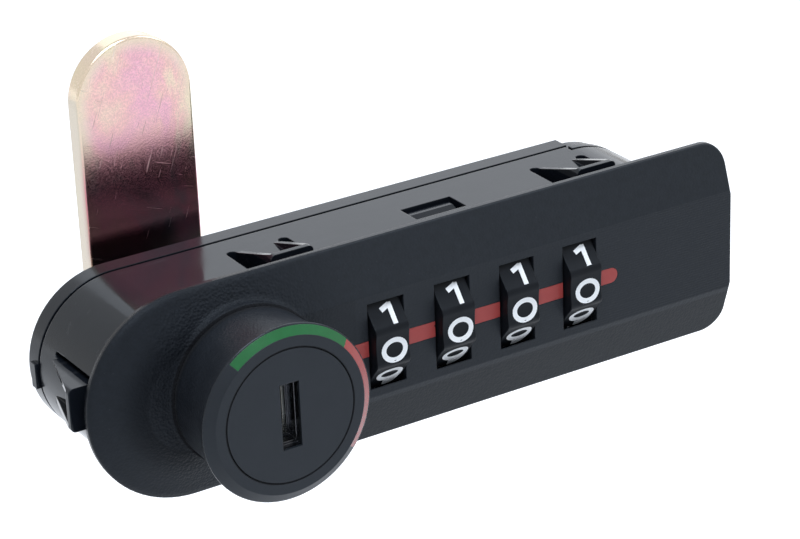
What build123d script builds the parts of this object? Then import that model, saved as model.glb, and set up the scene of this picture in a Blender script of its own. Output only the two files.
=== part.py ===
from build123d import *
from math import cos, radians, sin, sqrt
import os

# Four dial combination lock for a locker door, with a turning knob and a cam behind the door.
# X runs along the lock to the right, Y into the door and Z up, in millimetres.
# The origin is on the knob's axis, in the plane of the front plate's back face.

# Named clearances
RUN = 0.05            # radial clearance of a turning fit
SLIP = 0.05           # clearance of pieces that are assembled and stay put
AIR = 0.3             # clearance of pieces that only pass each other
SEAM = 0.6            # open joint between the housing and the rear cover
KNOB_GAP = 0.12       # joint between the knob's neck and the collar
PLUG_GAP = 0.12       # ring joint round the plug's face
WINDOW_GAP = 0.3      # each side of a dial in its window
JOIN = 0.1            # how far pieces of one solid run into each other
CUT = 1.0             # how far a cut runs past what it cuts

# Dials
DIALS = 4
DIAL_PITCH = 12.0
DIAL_R = 9.5          # at the ridges
DIAL_HOLLOW = 0.62    # depth of each hollow facet
RIDGE_W = 1.5         # width of each rounded ridge
RIDGE_DROP = 0.18     # how far a ridge falls off to its sides
DIAL_W = 5.9
DIGITS = 10
AXLE_BACK = 1.6       # how far the dials' axis lies behind the front wall
AXLE_R = 2.0
AXLE_CHAMFER = 0.4
SLEEVE_R = 4.0
SPLINE = 0.6
SPLINE_W = 0.9
DISC_R = 5.2
DISC_T = 2.0
DISC_GAP = 0.15
SLEEVE_GAP = 0.1
GATE_W = 2.6
GATE_DEEP = 1.8
WINDOW_HALF = 7.15
SCOOP = 0.5

# Housing
WALL = 1.8
FRONT_WALL = 2.0
SUNK = 0.5            # how far the housing's front is let into the front plate
DIAL_ROOM = 2.1       # at least this much from the dials' ridges to the side wall
LEFT_ROOM = 14.91     # from the spindle's flange to the plate's left end
LEFT_INSET = 1.57     # from the plate's left end to the housing
END_ROOM = 23.2       # from the second rib to the plate's right end
RIGHT_INSET = 3.04    # from the plate's right end to the housing
LIP_H = 2.3           # height of the rear cover's lip
STEP_L = 14.3         # length of the lowered rear edge at the right end
STEP_DOWN = 1.75

# Front plate
PLATE_LIP = 3.24      # how far the plate covers the door above and below the housing
RIM = 1.0             # thickness at the edge
BAND_FRONT = -3.6     # front of the flat band
BAND_HALF = 8.47
CORNER = 4.0
EDGE_CHAMFER = 0.2
SKIN = 1.6            # thickness of the band in front of the dials
COLLAR_RISE = 0.35    # raised ring that the knob stands on
COLLAR_TAPER = 0.35
PIN_R = 1.5           # pins that are riveted over inside the housing
PIN_HEAD_R = 2.1
PIN_HEAD = 0.8
PIN_ROOM = 0.4
END_PIN = 6.5         # from the housing's left end

# Red stripe
STRIPE_HALF = 1.33
STRIPE_Z = -0.2
STRIPE_TAIL = 7.4     # from the last dial to the stripe's end
STRIPE_DEEP = 0.35

# Snap clips on the housing
CLIP_LEFT_X = 12.0
CLIP_RIGHT = 0.7      # from the second rib
CLIP_W = 7.3
CLIP_WINDOW_W = 10.8
CLIP_SHORT = 0.14     # from the catches to the plate's edge
END_CLIP_Z = 1.0
END_CLIP_W = 7.0
END_WINDOW_W = 8.7
END_CLIP_RISE = 2.8
CATCH_Y = 2.2         # door thickness that the catches hold
CATCH_T = 0.9
CATCH_ROUND = 0.8
CLIP_RIB = 1.0
CLIP_FOOT = 1.4       # how deep the ribs go into the wall
CLIP_TAIL = 2.9       # from the ribs' ends to the rear cover's lip
WINDOW_BEFORE = 1.0   # how far a clip's window reaches in front of the catch
WINDOW_BEHIND = 0.85  # how far it reaches behind the ribs

# Snap tab of the rear cover, seen in a window in the top
TAB_X = 41.7
TAB_W = 9.2
TAB_Y = 7.1
TAB_L = 4.8
TAB_GAP = 0.55
TAB_SUNK = 0.55
TAB_SLOPE = 0.9
TAB_FLAT = 1.2
TAB_T = 1.3

# Rear cover
COVER_T = 3.7
COVER_WALL = 1.8
LIP_T = 1.0
LEDGE_DROP = 1.4      # the screw heads at the right end lie on this lower ledge
LEDGE_INSET = 0.5
LEDGE_BAND = 1.2
COVER_CHAMFER = 0.6
PRY_W = 4.1           # small nub at the left end, for a screwdriver
PRY_Z = -0.45
PRY_OUT = 0.5
PRY_L = 1.5
BEARING_R = 8.8
BEARING_RISE = 3.9
SCREW_ANGLE = 60      # degrees from the lock's length, about the centre of each end
SCREW_INSET_LEFT = 4.7
SCREW_INSET_RIGHT = 4.3
SCREW_R = 1.3
SCREW_HEAD_R = 2.6
SCREW_HEAD = 1.6
SCREW_CHAMFER = 0.7
SCREW_TIP_Y = 7.0
CROSS_L = 2.9         # cross recess in the heads
CROSS_W = 0.7
CROSS_DEEP = 1.4
BOSS_R = 2.6

# Knob
KNOB_FACE = -16.3
KNOB_R = 13.97
KNOB_OVER = 1.47      # how far the rim stands out over the collar
RING_EDGE = 0.12      # from the coloured chamfer to the rim
RING_W = 1.45         # width of the coloured chamfer, seen from the front
RING_BACK = 0.95      # how far the chamfer falls back
RING_BORDER = 0.06    # share of the chamfer that stays black at each edge
KNOB_RIM = 0.35
KNOB_TUCK = 0.3       # how far the rim turns in behind
NECK_SWELL = 0.25
FLANGE_OVER = 1.2     # how far the spindle's flange stands out over the knob's stem
STEM_WALL = 1.4
STEM_SHORT = 2.8      # from the stem's end to the spindle's flange
CAVITY_Y = -1.0
RED_ANGLE = -39.5     # degrees from +X towards +Z
MIDDLE_ANGLE = 41.0
GREEN_ANGLE = 130.5
INLAY = 0.5

# Key plug
FACE_BORDER = 1.85    # face of the knob round the plug
PLUG_FACE_T = 2.65
PLUG_R = 6.5
SLOT_W = 3.2
SLOT_H = 10.5
SLOT_STEP = 1.6       # depth at which the slot narrows
SLOT_NARROW = 0.2
SLOT_SHORT = 0.45
SLOT_DEEP = 3.6
KEYWAY_W = 2.2
KEYWAY_H = 9.0
KEYWAY_STOP = 1.4     # from the keyway's end to the knob's cavity
TAIL_R = 4.5
TAIL_L = 2.6
GROOVE_R = 3.8
CLIP_RING_W = 3.4
CLIP_RING_AIR = 0.4
CLIP_RING_Y = -0.55
CLIP_RING_T = 0.8
CLIP_RING_MOUTH = 3.2
WAFERS = 4
WAFER_T = 1.0
WAFER_W = 5.0
WAFER_SHORT = 0.1
WAFER_PITCH = 2.1
WAFER_START = 1.65    # from the face disc to the first wafer
WAFER_HOLE_W = 1.8
WAFER_HOLE_H = 6.6
CHAMBER = 1.0         # how far the wafer chambers reach past the wafers

# Spindle, cam and its screw
FLANGE_ROOM = 1.4     # at least this much from the flange to the housing's wall
FLANGE_T = 3.6
FLANGE_GAP = 0.4
SPIGOT_GAP = 2.4      # from the plug's tail to the spindle
DRIVE_HALF = 1.45     # half width of the cross bar that the knob's stem drives
DRIVE_L = 3.0
NOTCH = 2.4
JOURNAL_R = 6.0
SQUARE_STEP = 2.0     # from the journal to the flats of the square
SQUARE_CORNER = 0.72  # from the journal to the corners of the square
CAM_GAP = 0.4
CAM_T = 3.1
CAM_W = 19.4
CAM_TOP = 46.0
CAM_ROUND = 0.5
SQUARE_SHORT = 0.3
WASHER_R = 7.0
WASHER_T = 1.0
WASHER_AIR = 0.2
CAM_SCREW_R = 2.5
CAM_HEAD_R = 4.4
CAM_HEAD = 3.2
CAM_HEAD_CHAMFER = 0.5
CAM_HEAD_TRIM = 0.22
CAM_SCREW_DEEP = 10.0
CAM_SCREW_TIP = 1.0

# Axle ribs, locking bar and springs
RIB_T = 1.6
RIB_RISE = 5.4        # from the dials' axis to the ribs' tops
RIB_SINK = 0.5        # how far the ribs run into the side wall
SNAP = 0.2            # how much the rib's mouth narrows behind the axle
LEAD = 2.0            # length of the mouth's lead
LEAD_FLARE = 1.4
BEARING_WALL = 1.35   # round the knob's stem
SPRING_ROOM = 5.4     # from the spindle's flange to the first rib
BAR_ROOM = 0.4        # from the dials' ridges to the bar
BAR_T = 2.3
BAR_HALF = 2.2
BAR_TAIL = 2.5
FINGER_GAP = 0.4
FINGER_T = 1.4
FINGER_SIDE = 0.3
NOSE_HALF = 1.0
NOSE_L = 1.6
SPRING_R = 1.7
SPRING_WIRE = 0.25
SPRING_TURNS = 3
SPRING_SEAT = 5.0
SPRING_RIM = 0.3
SPRING_RIGHT = 3.2    # from the second rib
PEG_R = 1.2
PEG_H = 2.0

# Detent spring under the dials
LEAF_T = 0.3
LEAF_W = 3.6
LEAF_BASE = 2.8
LEAF_BASE_GAP = 0.4
LEAF_EDGE = 1.0
LEAF_NOSE = 0.8
LEAF_NOSE_H = 0.3
LEAF_TIP = 0.4
LEAF_TIP_H = 0.6
LEAF_BEND = 1.5
LEAF_GAP = 0.25
STUD_R = 0.9
STUD_H = 0.7

# Places that follow from the sizes above
CLIP_RING_R = GROOVE_R + CLIP_RING_W
CAVITY_R = CLIP_RING_R + CLIP_RING_AIR
STEM_R = CAVITY_R + STEM_WALL
FLANGE_R = STEM_R + FLANGE_OVER
CAVITY_HALF = max(DIAL_R + DIAL_ROOM, FLANGE_R + FLANGE_ROOM)
HOUSE_R = CAVITY_HALF + WALL
PLATE_HALF = HOUSE_R + PLATE_LIP
CLIP_RISE = PLATE_LIP - CLIP_SHORT
AXIS_Y = FRONT_WALL + AXLE_BACK
CORE_HALF = DIAL_R + AIR
WINDOW_W = DIAL_W + 2 * WINDOW_GAP

FINGER_FRONT = AXIS_Y + DISC_R + FINGER_GAP
BAR_Y0 = AXIS_Y + DIAL_R + BAR_ROOM
SEAT_Y = BAR_Y0 + BAR_T
HOUSE_REAR = SEAT_Y + LIP_H
COVER_FRONT = HOUSE_REAR + SEAM
COVER_REAR = COVER_FRONT + COVER_T
LEDGE_Y = COVER_REAR - LEDGE_DROP
BEARING_REAR = COVER_REAR + BEARING_RISE
CLIP_TAIL_Y = SEAT_Y - CLIP_TAIL
WINDOW_Y0 = CATCH_Y - WINDOW_BEFORE
WINDOW_Y1 = CLIP_TAIL_Y + WINDOW_BEHIND

FLANGE_Y1 = SEAT_Y - FLANGE_GAP
FLANGE_Y0 = FLANGE_Y1 - FLANGE_T
BEARING_FRONT = FLANGE_Y1 + AIR
STEM_END = FLANGE_Y0 - STEM_SHORT
SPIGOT_R = CAVITY_R - RUN
DRIVE_Y = STEM_END - DRIVE_L
SQUARE = 2 * (JOURNAL_R - SQUARE_STEP)
SQUARE_R = JOURNAL_R - SQUARE_CORNER
CAM_Y = BEARING_REAR + CAM_GAP
WASHER_Y = CAM_Y + CAM_T

COLLAR_FRONT = BAND_FRONT - COLLAR_RISE
COLLAR_R = KNOB_R - KNOB_OVER
COLLAR_FOOT_R = COLLAR_R + COLLAR_TAPER
RING_R = KNOB_R - RING_EDGE
FACE_R = RING_R - RING_W
PLUG_FACE_R = FACE_R - FACE_BORDER
FACE_PLUG_BACK = KNOB_FACE + PLUG_FACE_T
TAIL_END = CAVITY_Y + TAIL_L
SPIGOT_Y = TAIL_END + SPIGOT_GAP

SLEEVE_TAIL = DIAL_PITCH - DIAL_W / 2 - DISC_GAP - DISC_T - SLEEVE_GAP
RIB_LEFT = FLANGE_R + SPRING_ROOM
DIAL_X = RIB_LEFT + RIB_T + AIR + SLEEVE_TAIL
LAST_X = DIAL_X + DIAL_PITCH * (DIALS - 1)
RIB_RIGHT = LAST_X + DIAL_W / 2 + DISC_GAP + DISC_T + AIR
TRAIN_END = RIB_RIGHT + RIB_T
STRIPE_END = LAST_X + STRIPE_TAIL
PLATE_START = -FLANGE_R - LEFT_ROOM
PLATE_END = TRAIN_END + END_ROOM
PLATE_LEFT = PLATE_START + PLATE_HALF
HOUSE_START = PLATE_START + LEFT_INSET
HOUSE_END = PLATE_END - RIGHT_INSET
HOUSE_LEFT = HOUSE_START + HOUSE_R
HOUSE_RIGHT = HOUSE_END - HOUSE_R
STEP_X = HOUSE_END - STEP_L
SPRING_X = [FLANGE_R + SPRING_ROOM / 2, TRAIN_END + SPRING_RIGHT]
CLIP_X = [CLIP_LEFT_X, TRAIN_END + CLIP_RIGHT]
STUD_X = [DIAL_X + DIAL_PITCH / 2, LAST_X - DIAL_PITCH / 2]
BAR_END = TRAIN_END + SPRING_RIGHT + BAR_TAIL
LEAF_BASE_Y1 = SEAT_Y - LEAF_BASE_GAP
LEAF_BASE_Y0 = LEAF_BASE_Y1 - LEAF_BASE


def block(x0, x1, y0, y1, z0, z1):
    """A block between two corners."""
    middle = Pos((x0 + x1) / 2, (y0 + y1) / 2, (z0 + z1) / 2)
    return middle * Box(x1 - x0, y1 - y0, z1 - z0)


def rod(radius, y0, y1, x=0, z=0):
    """A round bar along Y."""
    return Pos(x, (y0 + y1) / 2, z) * Rot(90, 0, 0) * Cylinder(radius, y1 - y0)


def bar_x(radius, x0, x1, y, z=0):
    """A round bar along X."""
    return Pos((x0 + x1) / 2, y, z) * Rot(0, 90, 0) * Cylinder(radius, x1 - x0)


def slab(outline, y0, y1):
    """An outline drawn as seen from the front, X and Z, made solid between two depths."""
    return extrude(Plane.XZ.offset(-y1) * outline, amount=y1 - y0)


def beam(section, x0, x1):
    """A section drawn in Y and Z, made solid between two places along X."""
    return extrude(Plane.YZ.offset(x0) * section, amount=x1 - x0)


def turned(points):
    """A solid turned about the knob's axis from (radius, y) points."""
    return revolve(make_face(Polyline(*points, close=True)), Axis.Y)


def stadium(radius, y0, y1, left=HOUSE_LEFT, right=HOUSE_RIGHT):
    """A block with round ends, as the housing is seen from the front."""
    length = right - left
    outline = Pos((left + right) / 2, 0) * SlotCenterToCenter(length, 2 * radius)
    return slab(outline, y0, y1)


def sector(start, end, y0, y1):
    """A wedge about the knob's axis between two angles from +X towards +Z."""
    far = 3 * KNOB_R
    middle = (start + end) / 2
    corners = [(0, 0)]
    for angle in (start, middle, end):
        corners.append((far * cos(radians(angle)), far * sin(radians(angle))))
    return slab(make_face(Polyline(*corners, close=True)), y0, y1)


def dial_places():
    """The middles of the dials along X."""
    return [DIAL_X + DIAL_PITCH * number for number in range(DIALS)]


def plate_blank():
    """The front plate's wedge section, turned round the left end and cut to the corners."""
    section = make_face(Polyline(
        (0, -PLATE_HALF), (-RIM, -PLATE_HALF), (BAND_FRONT, -BAND_HALF),
        (BAND_FRONT, BAND_HALF), (-RIM, PLATE_HALF), (0, PLATE_HALF), close=True))
    straight = beam(section, PLATE_LEFT, PLATE_END)
    end = turned([(0, 0), (PLATE_HALF, 0), (PLATE_HALF, -RIM), (BAND_HALF, BAND_FRONT), (0, BAND_FRONT)])
    blank = straight + Pos(PLATE_LEFT, 0, 0) * end
    reach = PLATE_END - PLATE_START
    outline = Pos(PLATE_END - reach / 2, 0) * RectangleRounded(reach, 2 * PLATE_HALF, CORNER)
    keep = slab(outline, BAND_FRONT, 0) + rod(PLATE_HALF, BAND_FRONT, 0, PLATE_LEFT)
    left_side = block(PLATE_LEFT - 2 * PLATE_HALF, PLATE_LEFT, BAND_FRONT, 0, -PLATE_HALF, PLATE_HALF)
    round_left = left_side - rod(PLATE_HALF, BAND_FRONT, 0, PLATE_LEFT)
    return (blank & keep) - round_left


def stripe_blank(y0, y1, grow=0.0):
    """The whole stripe with its round right end, before the windows divide it."""
    half = STRIPE_HALF + grow
    middle = STRIPE_END - STRIPE_HALF
    straight = block(0, middle, y0, y1, STRIPE_Z - half, STRIPE_Z + half)
    return straight + rod(half, y0, y1, middle, STRIPE_Z)


def pin_places():
    """The riveted pins of the front plate, by X and Z."""
    left = RIB_LEFT - PIN_HEAD_R - PIN_ROOM
    right = TRAIN_END + PIN_HEAD_R + PIN_ROOM
    height = CAVITY_HALF - PIN_HEAD_R - PIN_ROOM
    return [(HOUSE_START + END_PIN, 0), (left, height), (left, -height), (right, height), (right, -height)]


def front_plate():
    """The plate that covers the cut-out, with dial windows and the knob's bearing."""
    plate = plate_blank()
    rim_edges = plate.edges().filter_by(lambda edge: abs(edge.center().Y + RIM) < SLIP)
    plate = chamfer(rim_edges, EDGE_CHAMFER)
    collar = turned([
        (0, -RIM), (COLLAR_FOOT_R, -RIM), (COLLAR_FOOT_R, BAND_FRONT), (COLLAR_R, COLLAR_FRONT), (0, COLLAR_FRONT)])
    plate = plate - stadium(HOUSE_R + SLIP, -SUNK, CUT)
    core_depth = BAND_FRONT + SKIN
    plate = plate - block(RIB_LEFT, TRAIN_END, core_depth, 0, -CORE_HALF, CORE_HALF)
    half = WINDOW_W / 2
    for x in dial_places():
        plate = plate - block(x - half, x + half, BAND_FRONT - CUT, 0, -WINDOW_HALF, WINDOW_HALF)
        plate = plate - bar_x(DIAL_R + SCOOP, x - half, x + half, AXIS_Y)
    plate = plate - stripe_blank(BAND_FRONT, BAND_FRONT + STRIPE_DEEP)
    plate = plate + collar
    pin_back = FRONT_WALL + SLIP
    for x, z in pin_places():
        plate = plate + rod(PIN_R, -RIM, pin_back, x, z)
        plate = plate + rod(PIN_HEAD_R, pin_back, pin_back + PIN_HEAD, x, z)
    return plate - rod(STEM_R + RUN, COLLAR_FRONT - CUT, CUT)


def red_stripe():
    """Strips let in flush between the windows."""
    stripe = stripe_blank(BAND_FRONT, BAND_FRONT + STRIPE_DEEP, -SLIP)
    stripe = stripe - rod(COLLAR_FOOT_R + SLIP, BAND_FRONT - CUT, 0)
    half = WINDOW_W / 2
    for x in dial_places():
        stripe = stripe - block(x - half, x + half, BAND_FRONT - CUT, 0, -WINDOW_HALF, WINDOW_HALF)
    return stripe


def clip_tongue(width, rise):
    """Two ribs that climb to a catch, drawn on a wall whose outside is at height 0."""
    foot = -CLIP_FOOT
    catch_y1 = CATCH_Y + CATCH_T
    wedge = make_face(Polyline(
        (CATCH_Y, foot), (CATCH_Y, rise), (CATCH_Y + CATCH_T / 2, rise),
        (CLIP_TAIL_Y, 0), (CLIP_TAIL_Y, foot), close=True))
    left = beam(wedge, -width / 2, -width / 2 + CLIP_RIB)
    right = beam(wedge, width / 2 - CLIP_RIB, width / 2)
    catch = block(-width / 2, width / 2, CATCH_Y, catch_y1, foot, rise)
    envelope = block(-width / 2, width / 2, CATCH_Y, CLIP_TAIL_Y, foot, rise)
    upper_edges = envelope.edges().filter_by(Axis.Y).group_by(Axis.Z)[-1]
    return (left + right + catch) & fillet(upper_edges, CATCH_ROUND)


def clip_slots(width, window, deep):
    """The cut that frees a tongue on its sides and at its front."""
    side = (window - width) / 2
    rear = WINDOW_Y1 - side / 2
    cut = block(-window / 2, window / 2, WINDOW_Y0, CATCH_Y, -deep, CUT)
    for sign in (-1, 1):
        middle = sign * (window + width) / 4
        slot = block(middle - side / 2, middle + side / 2, WINDOW_Y0, rear, -deep, CUT)
        end = Pos(middle, rear, (CUT - deep) / 2) * Cylinder(side / 2, CUT + deep)
        cut = cut + slot + end
    return cut


def clip_frames():
    """Where each clip stands: its place, its width, window, rise and depth of cut."""
    frames = []
    deep = WALL + SLIP
    for x in CLIP_X:
        frames.append((Pos(x, 0, HOUSE_R), CLIP_W, CLIP_WINDOW_W, CLIP_RISE, deep))
        frames.append((Pos(x, 0, -HOUSE_R) * Rot(0, 180, 0), CLIP_W, CLIP_WINDOW_W, CLIP_RISE, deep))
    end_drop = HOUSE_R - sqrt(HOUSE_R ** 2 - (END_WINDOW_W / 2 + END_CLIP_Z) ** 2)
    left = Pos(HOUSE_START, 0, END_CLIP_Z) * Rot(0, -90, 0)
    right = Pos(HOUSE_END, 0, END_CLIP_Z) * Rot(0, 90, 0)
    frames.append((left, END_CLIP_W, END_WINDOW_W, END_CLIP_RISE, deep + end_drop))
    frames.append((right, END_CLIP_W, END_WINDOW_W, END_CLIP_RISE, deep + end_drop))
    return frames


def screw_places():
    """The rear screws as X, Z and the seat of the head."""
    radius_left = HOUSE_R - SCREW_INSET_LEFT
    radius_right = HOUSE_R - SCREW_INSET_RIGHT
    places = []
    for sign in (1, -1):
        turn = radians(SCREW_ANGLE)
        left_x = HOUSE_LEFT - radius_left * cos(turn)
        right_x = HOUSE_RIGHT + radius_right * cos(turn)
        places.append((left_x, sign * radius_left * sin(turn), COVER_REAR - SCREW_HEAD))
        places.append((right_x, sign * radius_right * sin(turn), LEDGE_Y))
    return places


def axle_rib(x0):
    """A cross wall with a snap-in seat for the dial axle, open to the rear."""
    top = AXIS_Y + RIB_RISE
    height = CAVITY_HALF + RIB_SINK
    rib = block(x0, x0 + RIB_T, FRONT_WALL / 2, top, -height, height)
    seat = bar_x(AXLE_R + SLIP, x0, x0 + RIB_T, AXIS_Y)
    mouth = AXLE_R + SLIP - SNAP
    flare = mouth + LEAD_FLARE
    lead = make_face(Polyline(
        (AXIS_Y, -mouth), (AXIS_Y, mouth), (top - LEAD, mouth),
        (top, flare), (top, -flare), (top - LEAD, -mouth), close=True))
    return rib, seat + beam(lead, x0, x0 + RIB_T)


def housing():
    """The moulded case: front wall, side wall, clips, ribs and bosses."""
    root = FRONT_WALL / 2
    inner = stadium(HOUSE_R - WALL / 2, -SUNK, HOUSE_REAR)
    shell = stadium(HOUSE_R, -SUNK, HOUSE_REAR)
    shell = shell - stadium(CAVITY_HALF, FRONT_WALL, HOUSE_REAR + CUT)
    shell = shell - stadium(HOUSE_R - WALL / 2, SEAT_Y, HOUSE_REAR + CUT)
    shell = shell - block(STEP_X, HOUSE_END + CUT, HOUSE_REAR - STEP_DOWN, HOUSE_REAR + CUT, -HOUSE_R, HOUSE_R)
    for place, width, window, rise, deep in clip_frames():
        shell = shell - place * clip_slots(width, window, deep)
        shell = shell + place * clip_tongue(width, rise)
    shell = shell + rod(STEM_R + RUN + BEARING_WALL, root, FLANGE_Y0 - AIR)
    for x, z, _ in screw_places():
        shell = shell + (rod(BOSS_R, root, SEAT_Y, x, z) & inner)
    for x in SPRING_X:
        shell = shell + rod(SPRING_R + SPRING_WIRE + SPRING_RIM, root, SPRING_SEAT - SPRING_WIRE, x)
        shell = shell + rod(PEG_R, root, SPRING_SEAT + PEG_H, x)
    half = CORE_HALF + AIR
    cuts = block(RIB_LEFT + RIB_T, RIB_RIGHT, -SUNK - CUT, FRONT_WALL + CUT, -half, half)
    for x0 in (RIB_LEFT, RIB_RIGHT):
        rib, seat = axle_rib(x0)
        shell = shell + rib
        cuts = cuts + seat
    for x in STUD_X:
        stud = Pos(x, (LEAF_BASE_Y0 + LEAF_BASE_Y1) / 2, -CAVITY_HALF)
        shell = shell + stud * Cylinder(STUD_R, 2 * STUD_H)
    shell = shell - cuts - rod(STEM_R + RUN, -SUNK - CUT, FLANGE_Y0)
    for x, z, _ in screw_places():
        shell = shell - rod(SCREW_R + SLIP, SCREW_TIP_Y - AIR, SEAT_Y + CUT, x, z)
    for x, z in pin_places():
        shell = shell - rod(PIN_R + SLIP, -SUNK - CUT, FRONT_WALL + CUT, x, z)
    left = TAB_X - TAB_W / 2
    return shell - block(left, left + TAB_W, TAB_Y, TAB_Y + TAB_L, CAVITY_HALF - CUT, HOUSE_R + CUT)


def snap_tab():
    """The tab of the rear cover, with a sloping lug that fills a window of the housing."""
    inner = CAVITY_HALF - SLIP
    low = inner - TAB_T
    top = HOUSE_R - TAB_SUNK
    left = TAB_X - TAB_W / 2 + TAB_GAP
    right = TAB_X + TAB_W / 2 - TAB_GAP
    front = TAB_Y + TAB_GAP
    rear = TAB_Y + TAB_L - TAB_GAP
    arm = block(left, right, front, COVER_FRONT + JOIN, low, inner)
    side = make_face(Polyline(
        (front, low), (front, top - TAB_SLOPE), (rear - TAB_FLAT, top), (rear, top), (rear, low), close=True))
    return arm + beam(side, left, right)


def rear_cover():
    """The lid with its bearing for the spindle, its lowered right end and its snap tab."""
    outer = stadium(HOUSE_R, COVER_FRONT, COVER_REAR)
    back_edges = outer.faces().sort_by(Axis.Y)[-1].edges()
    outer = chamfer(back_edges, COVER_CHAMFER)
    end = HOUSE_END + CUT
    ledge_x = STEP_X + SEAM
    skirt_front = COVER_FRONT - STEP_DOWN
    band_rear = skirt_front + LEDGE_BAND
    end_block = block(ledge_x, end, skirt_front, COVER_REAR, -HOUSE_R, HOUSE_R)
    outer = (outer - end_block) + (stadium(HOUSE_R, skirt_front, band_rear) & end_block)
    outer = outer + (stadium(HOUSE_R - LEDGE_INSET, skirt_front, LEDGE_Y) & end_block)
    pry = block(
        HOUSE_START - PRY_OUT, HOUSE_LEFT, COVER_FRONT, COVER_FRONT + PRY_L, PRY_Z - PRY_W / 2, PRY_Z + PRY_W / 2)
    lip_r = HOUSE_R - WALL / 2 - SLIP
    cover = outer + pry + stadium(lip_r, SEAT_Y, COVER_FRONT + JOIN)
    hollow = stadium(lip_r - LIP_T, SEAT_Y - CUT, COVER_REAR - COVER_WALL)
    roof = block(STEP_X - COVER_WALL, end, LEDGE_Y - COVER_WALL, COVER_REAR, -HOUSE_R, HOUSE_R)
    cover = cover - (hollow - roof)
    for x, z, seat in screw_places():
        cover = cover + (rod(BOSS_R, SEAT_Y, seat - JOIN, x, z) & stadium(lip_r, SEAT_Y, COVER_REAR))
    cover = cover + rod(BEARING_R, BEARING_FRONT, BEARING_REAR)
    cover = cover + snap_tab()
    for x, z, seat in screw_places():
        cover = cover - rod(SCREW_R + SLIP, SEAT_Y - CUT, COVER_REAR + CUT, x, z)
        if x < STEP_X:
            cover = cover - rod(SCREW_HEAD_R + AIR, seat, COVER_REAR + CUT, x, z)
    return cover - rod(JOURNAL_R + RUN, BEARING_FRONT - CUT, BEARING_REAR + CUT)


def rear_screws():
    """Four pan head screws that hold the rear cover."""
    screws = []
    for x, z, seat in screw_places():
        head = rod(SCREW_HEAD_R, seat, seat + SCREW_HEAD, x, z)
        head = chamfer(head.faces().sort_by(Axis.Y)[-1].edges(), SCREW_CHAMFER)
        slot = Pos(x, seat + SCREW_HEAD, z)
        head = head - slot * Box(CROSS_L, CROSS_DEEP, CROSS_W) - slot * Box(CROSS_W, CROSS_DEEP, CROSS_L)
        screws.append(head + rod(SCREW_R, SCREW_TIP_Y, seat + JOIN, x, z))
    return Compound(children=screws)


def ring_section():
    """The section of the coloured inlay in the knob's chamfer, as radius and y."""
    slope = sqrt(RING_W ** 2 + RING_BACK ** 2)
    in_r = -RING_BACK / slope * INLAY
    in_y = RING_W / slope * INLAY
    first = (FACE_R + RING_W * RING_BORDER, KNOB_FACE + RING_BACK * RING_BORDER)
    last = (RING_R - RING_W * RING_BORDER, KNOB_FACE + RING_BACK * (1 - RING_BORDER))
    return [first, last, (last[0] + in_r, last[1] + in_y), (first[0] + in_r, first[1] + in_y)]


def knob():
    """The turning knob with its stem, from one profile."""
    neck_foot = COLLAR_FRONT - KNOB_GAP
    rim_y = KNOB_FACE + RING_BACK
    back = rim_y + KNOB_RIM + KNOB_TUCK
    tuck_r = KNOB_R - KNOB_TUCK
    corners = Polyline(
        (0, CAVITY_Y), (0, KNOB_FACE), (FACE_R, KNOB_FACE), (RING_R, rim_y), (KNOB_R, rim_y + RING_EDGE),
        (KNOB_R, rim_y + KNOB_RIM), (tuck_r, back))
    middle_y = (back + neck_foot) / 2
    neck = ThreePointArc((tuck_r, back), (COLLAR_R + NECK_SWELL, middle_y), (COLLAR_R, neck_foot))
    foot = Polyline(
        (COLLAR_R, neck_foot), (STEM_R, neck_foot), (STEM_R, STEM_END), (CAVITY_R, STEM_END),
        (CAVITY_R, CAVITY_Y), (0, CAVITY_Y))
    solid = revolve(make_face(Curve() + [corners, neck, foot]), Axis.Y)
    solid = solid - rod(PLUG_FACE_R + PLUG_GAP, KNOB_FACE - CUT, FACE_PLUG_BACK + RUN)
    solid = solid - rod(PLUG_R + RUN, KNOB_FACE, CAVITY_Y + CUT)
    groove = turned(ring_section()) & sector(RED_ANGLE, GREEN_ANGLE, KNOB_FACE - CUT, 0)
    drive = block(-DRIVE_HALF - SLIP, DRIVE_HALF + SLIP, DRIVE_Y, STEM_END + CUT, -KNOB_R, KNOB_R)
    return solid - drive - groove


def indicator(start, end):
    """One coloured arc let into the knob's chamfer."""
    return turned(ring_section()) & sector(start, end, KNOB_FACE - CUT, 0)


def wafer_places():
    """The front faces of the wafers."""
    return [FACE_PLUG_BACK + WAFER_START + WAFER_PITCH * number for number in range(WAFERS)]


def wafer_half_height():
    """Half the height of a wafer that ends inside the plug's barrel."""
    return sqrt(PLUG_R ** 2 - (WAFER_W / 2) ** 2) - WAFER_SHORT


def upright_slot(width, height, y0, y1):
    """A rectangular cut on the knob's axis, given by its full width and height."""
    return block(-width / 2, width / 2, y0, y1, -height / 2, height / 2)


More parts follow.
